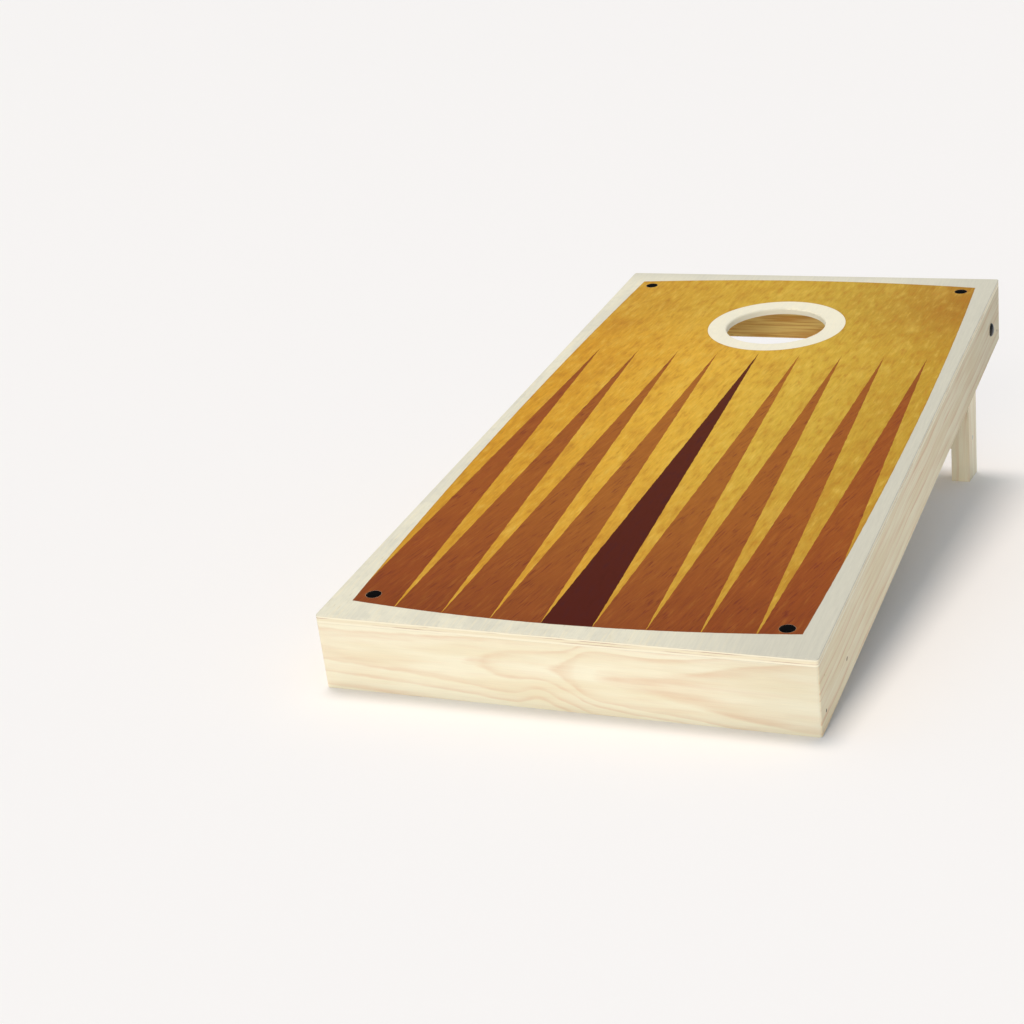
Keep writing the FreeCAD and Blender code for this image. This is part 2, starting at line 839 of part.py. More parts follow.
def write_steps():
    os.makedirs("parts", exist_ok=True)
    for node in NODES:
        node.Shape.exportStep("parts/%s.step" % node.Label)
        print("%-26s %3d solids %10.1f mm3" % (node.Label, len(node.Shape.Solids), node.Shape.Volume))


make_board()
check_document()
write_steps()
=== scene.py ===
import json
import math

import bmesh
import bpy
import numpy as np
from mathutils import Matrix, Vector


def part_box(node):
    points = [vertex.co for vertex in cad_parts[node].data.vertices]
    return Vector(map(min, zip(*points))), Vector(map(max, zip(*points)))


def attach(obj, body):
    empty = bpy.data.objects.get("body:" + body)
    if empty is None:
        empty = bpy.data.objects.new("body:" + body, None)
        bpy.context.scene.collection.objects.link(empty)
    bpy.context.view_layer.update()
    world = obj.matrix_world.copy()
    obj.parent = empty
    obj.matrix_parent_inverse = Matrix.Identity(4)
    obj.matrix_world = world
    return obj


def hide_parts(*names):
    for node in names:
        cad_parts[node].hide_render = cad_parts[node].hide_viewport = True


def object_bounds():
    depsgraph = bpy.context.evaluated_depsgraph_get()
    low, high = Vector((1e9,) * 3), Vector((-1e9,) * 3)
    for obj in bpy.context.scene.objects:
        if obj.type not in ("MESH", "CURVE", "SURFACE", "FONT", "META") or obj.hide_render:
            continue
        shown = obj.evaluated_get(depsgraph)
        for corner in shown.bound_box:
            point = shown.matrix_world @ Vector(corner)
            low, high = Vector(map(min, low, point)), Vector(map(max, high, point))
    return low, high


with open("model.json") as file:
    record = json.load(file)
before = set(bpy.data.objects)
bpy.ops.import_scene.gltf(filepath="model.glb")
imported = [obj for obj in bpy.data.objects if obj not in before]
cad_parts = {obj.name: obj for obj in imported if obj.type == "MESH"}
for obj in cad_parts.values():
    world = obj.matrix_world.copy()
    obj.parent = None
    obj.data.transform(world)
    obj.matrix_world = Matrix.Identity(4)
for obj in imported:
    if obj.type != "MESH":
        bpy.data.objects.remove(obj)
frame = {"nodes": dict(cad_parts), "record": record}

# Looks of a cornhole board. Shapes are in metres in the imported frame. Patterns are
# worked out in the board frame, in millimetres: X across, Y along, Z square to the
# deck, with the origin on the bottom edge of the front rail.

CAD_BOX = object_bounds()
NODES = frame["nodes"]
MM = 0.001
SIDES = ("left", "right")


# ------------------------------------------------------------------ the board frame

def tilt_of_board():
    """Angle of the deck to the floor, from the axis of the bag hole."""
    for mount in frame["record"]["mounts"]:
        if mount["name"] == "bag_hole":
            axis = mount["axis"]
            return math.atan2(-axis[1], axis[2])
    raise ValueError("no mount named bag_hole")


TILT = tilt_of_board()
UNTILT = Matrix.Rotation(-TILT, 4, "X")


def untilted_corners(node):
    points = [UNTILT @ vertex.co for vertex in NODES[node].data.vertices]
    low = Vector([min(point[axis] for point in points) for axis in range(3)])
    high = Vector([max(point[axis] for point in points) for axis in range(3)])
    return low, high


FRONT_EDGE = Vector((0, *untilted_corners("front_rail")[0].yz))
ORIGIN = UNTILT.inverted() @ FRONT_EDGE


def board_box(node):
    """Lowest and highest corner of a CAD node in the board frame, in millimetres."""
    low, high = untilted_corners(node)
    return (low - FRONT_EDGE) / MM, (high - FRONT_EDGE) / MM


REAR_TOP_CORNER = board_box("deck")[1]
LENGTH = REAR_TOP_CORNER.y
DECK_TOP = REAR_TOP_CORNER.z
HOLE_FROM_REAR = 228.6
HOLE_Y = LENGTH - HOLE_FROM_REAR


# -------------------------------------------------------------------- material tools

def tone(red, green, blue):
    """A colour given as sRGB levels from 0 to 255, made linear."""
    levels = [level / 255 for level in (red, green, blue)]
    linear = [s / 12.92 if s <= 0.04045 else ((s + 0.055) / 1.055) ** 2.4 for s in levels]
    return (*linear, 1.0)


class Field:
    """A value that varies over a surface, held by a node socket. Arithmetic adds nodes."""

    def __init__(self, paint, socket):
        self.paint = paint
        self.socket = socket

    def __add__(self, other):
        return self.paint.math("ADD", self, other)

    __radd__ = __add__

    def __sub__(self, other):
        return self.paint.math("SUBTRACT", self, other)

    def __rsub__(self, other):
        return self.paint.math("SUBTRACT", other, self)

    def __mul__(self, other):
        return self.paint.math("MULTIPLY", self, other)

    __rmul__ = __mul__

    def __truediv__(self, other):
        return self.paint.math("DIVIDE", self, other)

    def __abs__(self):
        return self.paint.math("ABSOLUTE", self)


class Paint:
    """One material being built. x, y and z are the board frame's, in millimetres."""

    def __init__(self, name):
        self.material = bpy.data.materials.new(name)
        self.material.use_nodes = True
        self.nodes = self.material.node_tree.nodes
        self.links = self.material.node_tree.links
        self.shader = self.nodes["Principled BSDF"]
        place = self.node("Mapping", vector_type="TEXTURE")
        place.inputs["Location"].default_value = ORIGIN
        place.inputs["Rotation"].default_value = (TILT, 0, 0)
        place.inputs["Scale"].default_value = (MM, MM, MM)
        self.links.new(self.node("TexCoord").outputs["Object"], place.inputs["Vector"])
        split = self.node("SeparateXYZ")
        self.links.new(place.outputs[0], split.inputs[0])
        self.x, self.y, self.z = (Field(self, socket) for socket in split.outputs)

    def node(self, kind, **settings):
        made = self.nodes.new("ShaderNode" + kind)
        for name, value in settings.items():
            setattr(made, name, value)
        return made

    def plug(self, socket, value):
        if isinstance(value, Field):
            self.links.new(value.socket, socket)
        else:
            socket.default_value = value

    def math(self, operation, *values):
        made = self.node("Math", operation=operation)
        for socket, value in zip(made.inputs, values):
            self.plug(socket, value)
        return Field(self, made.outputs[0])

    def least(self, first, *others):
        for other in others:
            first = self.math("MINIMUM", first, other)
        return first

    def most(self, first, *others):
        for other in others:
            first = self.math("MAXIMUM", first, other)
        return first

    def reach(self, first, second):
        """Distance of a point from the origin, from its two coordinates."""
        return self.math("SQRT", first * first + second * second)

    def smooth(self, value, low, high):
        """0 at low, 1 at high, with an eased change between them."""
        made = self.node("MapRange", interpolation_type="SMOOTHSTEP")
        for socket, level in zip(made.inputs, (value, low, high)):
            self.plug(socket, level)
        return Field(self, made.outputs[0])

    def noise(self, *steps, detail=2.0, rough=0.5, seed=0.0):
        """Smooth noise, mostly 0.3 to 0.7. Each step is a coordinate and its feature size."""
        point = self.node("CombineXYZ")
        for index, (value, size) in enumerate(steps):
            self.plug(point.inputs[index], value / size + seed * (7.3 + index))
        made = self.node("TexNoise")
        self.links.new(point.outputs[0], made.inputs["Vector"])
        made.inputs["Scale"].default_value = 1.0
        made.inputs["Detail"].default_value = detail
        made.inputs["Roughness"].default_value = rough
        return Field(self, made.outputs[0])

    def mix(self, amount, first, second, blend="MIX"):
        made = self.node("Mix", data_type="RGBA", blend_type=blend)
        self.plug(made.inputs[0], amount)
        self.plug(made.inputs[6], first)
        self.plug(made.inputs[7], second)
        return Field(self, made.outputs[2])

    def brighten(self, colour, gain):
        """Multiply a colour by a number."""
        grey = self.node("CombineColor")
        for socket in grey.inputs:
            self.plug(socket, gain)
        return self.mix(1.0, colour, Field(self, grey.outputs[0]), "MULTIPLY")

    def ramp(self, value, stops):
        """Colours by value. Each stop is a value and its colour."""
        first, last = stops[0][0], stops[-1][0]
        made = self.node("ValToRGB")
        elements = made.color_ramp.elements
        while len(elements) < len(stops):
            elements.new(1.0)
        for element, (level, colour) in zip(elements, stops):
            element.position = (level - first) / (last - first)
            element.color = colour
        self.plug(made.inputs[0], (value - first) / (last - first))
        return Field(self, made.outputs[0])

    def levels(self, value, stops):
        """The same for plain numbers."""
        return self.ramp(value, [(at, (level, level, level, 1)) for at, level in stops])

    def curve(self, value, points):
        """A smooth curve through a few points, each a value and its result."""
        first, last = points[0][0], points[-1][0]
        low = min(result for _, result in points)
        high = max(result for _, result in points)
        made = self.node("FloatCurve")
        line = made.mapping.curves[0]
        while len(line.points) < len(points):
            line.points.new(0.5, 0.5)
        for index, (at, result) in enumerate(points):
            place = ((at - first) / (last - first), (result - low) / (high - low))
            line.points[index].location = place
        made.mapping.update()
        self.plug(made.inputs["Value"], (value - first) / (last - first))
        return Field(self, made.outputs[0]) * (high - low) + low

    def finish(self, colour, roughness, height, depth, **constants):
        """Feed the shader. height is a relief from 0 to 1, depth its size in millimetres."""
        self.plug(self.shader.inputs["Base Color"], colour)
        self.plug(self.shader.inputs["Roughness"], roughness)
        for name, value in constants.items():
            self.shader.inputs[name.replace("_", " ")].default_value = value
        bump = self.node("Bump")
        bump.inputs["Distance"].default_value = depth * MM
        self.plug(bump.inputs["Height"], height)
        self.links.new(bump.outputs[0], self.shader.inputs["Normal"])
        return self.material


# ---------------------------------------------------------------------------- timber

PINE_PALE = tone(249, 241, 215)
PINE_CREAM = tone(243, 231, 200)
PINE_SALMON = tone(240, 215, 186)
PINE_LATE = tone(230, 198, 164)
PINE_FLECK = tone(212, 182, 148)
# Painted shade in and round a nail hole: its colour, and the nail's distance from the rail's end and
# its height.
PINE_KNOT = tone(132, 88, 56)
NAIL_HOLE_SHADE = tone(66, 54, 56)
NAIL_FROM_END = 23.5
NAIL_HEIGHT = 21.0
# Golden tint for the timber. It is strong on the rear rail's inner face, where it is partly heartwood
# and partly painted warm bounce light and shade.
PINE_GOLD = tone(255, 224, 142)
PINE_GOLD_STREAK = tone(206, 150, 80)
WOOD_SPECULAR = 0.15
WOOD_RELIEF = 0.10

# Marks in the wood: length along the grain and width in millimetres, detail and seed.
WOOD_MARKS = {
    "patch": (160, 22, 2.0, 1),
    "broad": (90, 9, 2.0, 2),
    "fibre": (60, 1.6, 3.0, 3),
    "fine": (18, 0.5, 2.0, 4),
    "streak": (130, 5, 3.0, 5),
    "faded": (220, 14, 2.0, 6),
}

# The front rail's rings, by radius, and its pith: points of X with the height from the
# deck's top, and points of X with the depth behind the rail's face.
FRONT_RINGS = (40, 60, 68.5, 72.6, 80, 85.6, 95.5, 110)
FRONT_PITH_HEIGHT = ((-305, -37.5), (-100, -43.5), (-8, -45), (47, -48), (135, -53.5),
                     (215, -53), (305, -49.5))
FRONT_PITH_DEPTH = ((-305, 77), (-100, 72.6), (-84, 71.5), (-50, 69.8), (-8, 68.5),
                    (12, 66.6), (47, 60), (90, 59), (135, 57.6), (215, 49.4), (305, 38))
SWIRL_X = -27
SWIRL_HEIGHT = -75
SWIRL_SIZE_X = 24
SWIRL_SIZE_Z = 22
SWIRL_LIFT = 12

# Each sawn piece: its pith's place across and behind the middle of the piece, its ring
# spacing, seed, golden tint and shade. The rear rail's golden tint is partly heartwood
# and partly painted warm bounce light and shade. Shade scales brightness: below 1 on the
# side rails is painted shade, above 1 on the legs is painted light against their shadow.
SAWN = {
    "rear_rail": ((-30, -52), 8.5, 5, 0.9, 1.0),
    "left_rail": ((-210, 70), 11.0, 6, 0.12, 0.97),
    "right_rail": ((190, 80), 12.0, 7, 0.12, 0.97),
    "centre_brace": ((12, 58), 9.0, 8, 0.2, 1.0),
    "front_left_corner_block": ((30, 24), 6.0, 9, 0.0, 1.0),
    "front_right_corner_block": ((-26, 32), 6.5, 10, 0.0, 1.0),
    "rear_left_stop_block": ((22, -40), 6.0, 11, 0.0, 1.0),
    "rear_right_stop_block": ((-35, 20), 7.0, 12, 0.0, 1.0),
    "left_leg": ((-90, 60), 7.5, 13, 0.05, 1.03),
    "right_leg": ((80, -75), 6.5, 14, 0.05, 1.03),
    "leg_crossbar": ((-22, 45), 7.0, 15, 0.1, 1.0),
}
RING_WANDER = 24
RING_SWAY = 5

# A knot's place along and across the middle of its piece, and its radius.
KNOTS = {
    "right_rail": (-483, -16.5, 2.4),
    "left_rail": (215, 14, 6.5),
    "rear_rail": (-170, -12, 5.0),
    "centre_brace": (-120, 8, 7.0),
    "left_leg": (-42, -9, 4.5),
    "leg_crossbar": (95, 4, 5.0),
}
KNOT_STRETCH = 0.6


def wood_mark(paint, kind, grain, seed):
    """Noise stretched along the grain. grain holds the along, across and deep coordinates."""
    along, across, deep = grain
    length, width, detail, step = WOOD_MARKS[kind]
    steps = ((along, length), (across, width), (deep, width))
    return paint.noise(*steps, detail=detail, seed=seed + step)


def latewood(paint, radius, spacing, seed):
    """Darkness of unevenly spaced rings, from 0 in a ring's pale start to 1 near its edge."""
    uneven = paint.noise((radius, spacing * 2.7), detail=1.0, seed=seed)
    fraction = paint.math("FRACT", radius / spacing + uneven * 1.6)
    return paint.levels(fraction, [(0, 0), (0.05, 0), (0.6, 0.18), (0.93, 1), (1, 0)])


def pine(paint, grain, late, seed, strength=1.0, golden=0.0, shade=1.0, knot=0.0, hole_shade=0.0):
    """Pale softwood with its grain along one axis. late is the darkness of its rings."""
    patch, broad, fibre, fine, streak = (
        wood_mark(paint, kind, grain, seed) for kind in ("patch", "broad", "fibre", "fine", "streak")
    )
    colour = paint.mix(paint.smooth(patch, 0.35, 0.68), PINE_PALE, PINE_CREAM)
    colour = paint.mix(paint.smooth(broad, 0.5, 0.78) * 0.35 * strength, colour, PINE_SALMON)
    darkness = (paint.smooth(broad, 0.25, 0.7) * 0.5 + 0.35) * strength
    colour = paint.mix(late * darkness, colour, PINE_LATE)
    colour = paint.mix(paint.smooth(fibre, 0.58, 0.8) * 0.3 * strength, colour, PINE_FLECK)
    colour = paint.mix(golden, colour, PINE_GOLD, "MULTIPLY")
    streaks = paint.smooth(streak, 0.42, 0.62) * golden * 0.7
    colour = paint.mix(streaks, colour, PINE_GOLD_STREAK, "MULTIPLY")
    colour = paint.mix(knot, colour, PINE_KNOT)
    # Painted shade: a dark spot at the nail holes.
    colour = paint.mix(hole_shade, colour, NAIL_HOLE_SHADE)
    # shade scales the brightness: below 1 it is painted shade, above 1 painted light.
    colour = paint.brighten(colour, (fibre * 0.10 + fine * 0.08 + 0.91) * shade)
    height = fibre * 0.6 + fine * 0.4 - late * 0.2
    rough = fibre * 0.2 + 0.5
    return paint.finish(colour, rough, height, WOOD_RELIEF, Specular_IOR_Level=WOOD_SPECULAR)


def front_rail_material():
    """Flat-sawn board: two closed loops and a broad arrowhead of grain."""
    paint = Paint("pine_front_rail")
    height = paint.z - DECK_TOP
    pith_height = paint.curve(paint.x, FRONT_PITH_HEIGHT)
    pith_depth = paint.curve(paint.x, FRONT_PITH_DEPTH)
    swirl_x = (paint.x - SWIRL_X) / SWIRL_SIZE_X
    swirl_z = (height - SWIRL_HEIGHT) / SWIRL_SIZE_Z
    swirl = paint.math("EXPONENT", 0 - swirl_x * swirl_x - swirl_z * swirl_z)
    sway = paint.noise((paint.x, 26), (paint.z, 7), (paint.y, 7), detail=3.0, seed=3) * 1.6 - 0.8
    from_pith = height - swirl * SWIRL_LIFT - pith_height
    radius = paint.reach(from_pith, pith_depth - paint.y) + sway
    stops = []
    for inner, outer in zip(FRONT_RINGS, FRONT_RINGS[1:]):
        width = outer - inner
        stops += [(inner + 0.08 * width, 0.0), (inner + 0.6 * width, 0.2), (outer - 0.06 * width, 1.0)]
    late = paint.levels(radius, stops)
    # Painted shade: the rail darkens towards its right end.
    shade = 1 - paint.smooth(paint.x, 100, 330) * 0.1
    grain = (paint.x, paint.z, paint.y)
    return pine(paint, grain, late, seed=1, strength=0.75, shade=shade)


def nail_hole_shade(paint):
    """Painted shade: a dark spot in and round the lower of the two nails at each end of a
    side rail, where the nail hole lies in shade.
    """
    nail_y = paint.least(abs(paint.y - NAIL_FROM_END), abs(paint.y - LENGTH + NAIL_FROM_END))
    return paint.smooth(paint.reach(nail_y, paint.z - NAIL_HEIGHT), 2.5, 1.6) * 0.9


def knot_marks(paint, name, along, across):
    """How far a piece's knot pushes its rings out, and the darkness of the knot itself."""
    if name not in KNOTS:
        return 0.0, 0.0
    knot_along, knot_across, size = KNOTS[name]
    off = paint.reach((along - knot_along) * KNOT_STRETCH, across - knot_across)
    near = off / (size * 3)
    swell = paint.math("EXPONENT", 0 - near * near) * (size * 1.8)
    rings = paint.math("SINE", off * (9 / size)) * 0.12 + 0.7
    return swell, paint.smooth(off, size * 1.1, size * 0.75) * rings


def sawn_material(name, pith, spacing, seed, golden, shade):
    """Pine for one piece, with its grain along the piece's longest side."""
    paint = Paint("pine_" + name)
    low, high = board_box(name)
    size = high - low
    middle = (low + high) / 2
    order = sorted(range(3), key=lambda axis: -size[axis])
    axes = (paint.x, paint.y, paint.z)
    along, across, deep = (axes[axis] - middle[axis] for axis in order)
    grain = (along, across, deep)
    wander = paint.noise((along, 300), seed=seed) * RING_WANDER - RING_WANDER / 2
    sway = paint.noise((along, 120), (across, 18), (deep, 18), seed=seed + 0.5) * RING_SWAY
    radius = paint.reach(across - pith[0] + wander, deep - pith[1]) + sway
    swell, knot = knot_marks(paint, name, along, across)
    late = latewood(paint, radius + swell, spacing, seed)
    faded = wood_mark(paint, "faded", grain, seed)
    late = late * (paint.smooth(faded, 0.38, 0.6) * 0.75 + 0.25)
    # Painted warm bounce light and shade, partly heartwood: only the rear rail's inner face, seen
    # through the hole, takes the deep gold tint and its streaks.
    if name == "rear_rail":
        golden = paint.smooth(paint.y, low.y + 20, low.y + 18) * golden
    hole_shade = 0.0
    if name in ("left_rail", "right_rail"):
        # Painted shade: the side rails darken towards the rear end.
        shade = shade - paint.smooth(paint.y, 450, 1250) * 0.22
        # Painted shade: a dark spot at the nail holes.
        hole_shade = nail_hole_shade(paint)
    return pine(paint, grain, late, seed, 1.15, golden, shade, knot, hole_shade)


def assign(name, material):
    for slot in NODES[name].material_slots:
        slot.material = material


assign("front_rail", front_rail_material())
for piece_name, timber in SAWN.items():
    assign(piece_name, sawn_material(piece_name, *timber))


# ------------------------------------------------------------------------------ deck

VENEER_PALE = tone(231, 224, 202)
VENEER_GREY = tone(218, 212, 194)
VENEER_WARM = tone(234, 221, 189)
# Grey of the veneer's painted shade and of its random blotches.
VENEER_SHADE_AND_BLOTCH = tone(204, 199, 183)
VENEER_MARK = tone(196, 182, 154)
PLY_FACE = tone(250, 240, 214)
PLY_CORE = tone(243, 230, 200)
GLUE = tone(170, 118, 96)
UPPER_GLUE = 3.4
LOWER_GLUE = 7.0
DECK_THICKNESS = 10
TOP_FACE_DEPTH = 1.2
HOLE_WALL_RADIUS = 80
MATT_SPECULAR = 0.03
PRINT_RELIEF = 0.06
# Gold across the deck at the front, middle and rear. It darkens towards the right and the rear right
# corner, partly the print's own tone and partly painted shade.
GOLD_STATIONS = (-262, -60, 100, 262)
GOLD_FRONT = (tone(204, 147, 44), tone(214, 158, 53), tone(203, 154, 54), tone(191, 143, 49))
GOLD_MIDDLE = (tone(210, 151, 43), tone(222, 171, 58), tone(208, 168, 60), tone(191, 149, 49))
GOLD_REAR = (tone(202, 151, 49), tone(206, 164, 57), tone(194, 156, 56), tone(172, 123, 41))
GOLD_DEEP = tone(176, 112, 36)
GOLD_SMUDGE = tone(140, 88, 36)
GOLD_LIGHT = tone(236, 200, 96)
TAN_INNER = ((20, tone(141, 73, 33)), (150, tone(151, 83, 35)), (350, tone(161, 95, 37)),
             (700, tone(166, 100, 37)), (880, tone(160, 94, 30)))
TAN_OUTER = ((20, tone(134, 65, 28)), (150, tone(146, 74, 32)), (350, tone(155, 83, 33)),
             (700, tone(151, 79, 31)), (880, tone(140, 78, 28)))
TAN_FLECK = tone(112, 46, 34)
TAN_LIGHT = tone(184, 118, 52)
MAROON = ((20, tone(80, 27, 16)), (450, tone(86, 33, 17)), (880, tone(92, 38, 14)))
MAROON_DARK = tone(60, 24, 28)
FIELD_HALF = 275.0
FIELD_BULGE = 12.0
FIELD_REAR = 1177.0
FIELD_REAR_BULGE = 18.0
FIELD_FRONT = 46.5
FIELD_FRONT_BULGE = 19.5
FIELD_SKEW = 4.5
SPIKE_PITCH = 63.1
SPIKE_SHIFT = 4.5
SPIKE_TIP = 874.0
SPIKE_SLOPE = 0.0742
SPIKES_EACH_SIDE = 4
RING_RADIUS = 106.0
RING_SHIFT = 1
BUMPER_FROM_END = 61.0
BUMPER_FROM_MIDDLE = 255.5
BUMPER_CLEARING = 9.6
GOLD_LEAN = 0.05
GOLD_BRUSH_LEAN = 0.10
TAN_LEAN = 0.12
TAN_BRUSH_LEAN = 0.24


def veneer(paint, seed):
    """Bare rotary-cut face: pale, with faint streaks and a few short checks along Y, greyed
    towards the right edge and the rear end by painted shade.
    """
    cloud = paint.noise((paint.x, 40), (paint.y, 190), seed=seed)
    streak = paint.noise((paint.x, 4), (paint.y, 90), detail=4.0, rough=0.6, seed=seed + 1)
    check = paint.noise((paint.x, 1.3), (paint.y, 16), detail=1.0, seed=seed + 2)
    area = paint.noise((paint.x, 30), (paint.y, 60), seed=seed + 3)
    colour = paint.mix(paint.smooth(cloud, 0.35, 0.65) * 0.7, VENEER_PALE, VENEER_GREY)
    grain = paint.noise((paint.x, 2.2), (paint.y, 26), detail=3.0, rough=0.6, seed=seed + 4)
    colour = paint.mix(paint.smooth(streak, 0.45, 0.75) * 0.6, colour, VENEER_WARM)
    mark = paint.smooth(check, 0.62, 0.8) * paint.smooth(area, 0.42, 0.6)
    colour = paint.mix(mark * 0.6, colour, VENEER_MARK)
    blotch = paint.noise((paint.x, 13), (paint.y, 17), detail=3.0, seed=seed + 5)
    # Painted shade: the veneer greys towards the right edge and the rear end. Random grey blotches of
    # its own are mixed in too.
    shade_and_blotch = paint.most(paint.smooth(paint.x, 40, 290), paint.smooth(paint.y, 1150, 1240) * 0.8)
    shade_and_blotch = paint.most(shade_and_blotch * 0.9, paint.smooth(blotch, 0.45, 0.75) * 0.35)
    colour = paint.mix(shade_and_blotch, colour, VENEER_SHADE_AND_BLOTCH)
    return paint.brighten(colour, streak * 0.16 + grain * 0.16 + 0.84), streak


def field_gap(paint):
    """Distance inside the printed field's barrel-shaped outline, negative outside it."""
    p = paint.x / FIELD_HALF
    q = (paint.y - LENGTH / 2) / ((FIELD_REAR - FIELD_FRONT) / 2)
    across_bow = 1 - p * p
    side = (1 - q * q) * FIELD_BULGE + FIELD_HALF
    rear = across_bow * FIELD_REAR_BULGE + FIELD_REAR
    front = p * FIELD_SKEW - across_bow * FIELD_FRONT_BULGE + FIELD_FRONT
    return paint.least(side - abs(paint.x), rear - paint.y, paint.y - front)


def spikes(paint, wobble):
    """Mask of the nine long spikes, and the number of the spike, -4 to 4."""
    place = (paint.x + wobble - SPIKE_SHIFT) / SPIKE_PITCH
    number = paint.most(paint.math("ROUND", place), -SPIKES_EACH_SIDE)
    number = paint.least(number, SPIKES_EACH_SIDE)
    off_centre = abs(place - number) * SPIKE_PITCH
    half = (SPIKE_TIP - paint.y) * (SPIKE_SLOPE / 2)
    return paint.smooth(half - off_centre, -0.25, 0.25), number


def gold_colour(paint):
    x, y = paint.x, paint.y
    front, middle, rear = (
        paint.ramp(x, list(zip(GOLD_STATIONS, row))) for row in (GOLD_FRONT, GOLD_MIDDLE, GOLD_REAR)
    )
    colour = paint.mix(paint.smooth(y, 150, 600), front, middle)
    colour = paint.mix(paint.smooth(y, 850, 1100), colour, rear)
    lean = x - y * GOLD_LEAN
    cloud = paint.noise((lean, 38), (y, 80), detail=2.0, seed=21)
    mottle = paint.noise((lean, 9), (y, 32), detail=3.0, rough=0.6, seed=22)
    brush = x - y * GOLD_BRUSH_LEAN
    streak = paint.noise((brush, 2.4), (y, 28), detail=3.0, rough=0.65, seed=23)
    smudge = paint.noise((brush, 4), (y, 34), detail=2.0, seed=25)
    area = paint.noise((lean, 55), (y, 110), detail=1.0, seed=24)
    colour = paint.mix(paint.smooth(cloud, 0.48, 0.75) * 0.28, colour, GOLD_DEEP)
    colour = paint.mix(paint.smooth(cloud, 0.5, 0.25) * 0.16, colour, GOLD_LIGHT)
    colour = paint.mix(paint.smooth(mottle, 0.48, 0.78) * 0.58, colour, GOLD_DEEP)
    colour = paint.mix(paint.smooth(mottle, 0.5, 0.2) * 0.36, colour, GOLD_LIGHT)
    spots = paint.smooth(smudge, 0.62, 0.78) * paint.smooth(area, 0.45, 0.65)
    colour = paint.mix(spots * 0.4, colour, GOLD_SMUDGE)
    return paint.brighten(colour, streak * 0.5 + 0.74), streak


def tan_colour(paint, number):
    x, y = paint.x, paint.y
    lean = x - y * TAN_LEAN
    step = 1 / (SPIKES_EACH_SIDE - 1)
    outer = abs(number) * step - step
    colour = paint.mix(outer, paint.ramp(y, TAN_INNER), paint.ramp(y, TAN_OUTER))
    mottle = paint.noise((lean, 7), (y, 50), detail=3.0, rough=0.6, seed=31)
    brush = x - y * TAN_BRUSH_LEAN
    fleck = paint.noise((brush, 2.6), (y, 24), detail=2.0, seed=32)
    area = paint.noise((lean, 22), (y, 60), detail=1.0, seed=33)
    streak = paint.noise((brush, 2.2), (y, 48), detail=3.0, rough=0.65, seed=34)
    colour = paint.mix(paint.smooth(mottle, 0.5, 0.8) * 0.35, colour, TAN_FLECK)
    colour = paint.mix(paint.smooth(mottle, 0.5, 0.2) * 0.3, colour, TAN_LIGHT)
    flecks = paint.smooth(fleck, 0.52, 0.7) * paint.smooth(area, 0.4, 0.6)
    colour = paint.mix(flecks * 0.65, colour, TAN_FLECK)
    return paint.brighten(colour, streak * 0.6 + 0.69)


def maroon_colour(paint):
    cloud = paint.noise((paint.x, 8), (paint.y, 36), detail=3.0, rough=0.6, seed=41)
    colour = paint.mix(paint.smooth(cloud, 0.45, 0.8) * 0.6, paint.ramp(paint.y, MAROON), MAROON_DARK)
    return paint.brighten(colour, cloud * 0.5 + 0.78)


def ply_edge(paint, depth):
    """Three plies with broken glue lines between them, by depth below the top face."""
    layer = paint.levels(depth, [
        (0, 0), (UPPER_GLUE - 0.1, 0), (UPPER_GLUE + 0.1, 1),
        (LOWER_GLUE - 0.1, 1), (LOWER_GLUE + 0.1, 0), (DECK_THICKNESS, 0),
    ])
    fibre = paint.noise((paint.x, 30), (paint.y, 30), (paint.z, 0.8), detail=3.0, seed=52)
    colour = paint.brighten(paint.mix(layer, PLY_FACE, PLY_CORE), fibre * 0.12 + 0.93)
    patch = paint.noise((paint.x, 60), (paint.y, 60), (paint.z, 3), detail=2.0, seed=51)
    line = paint.least(abs(depth - UPPER_GLUE), abs(depth - LOWER_GLUE))
    amount = paint.smooth(line, 0.55, 0.2) * paint.smooth(patch, 0.5, 0.64)
    return paint.mix(amount * 0.7, colour, GLUE)


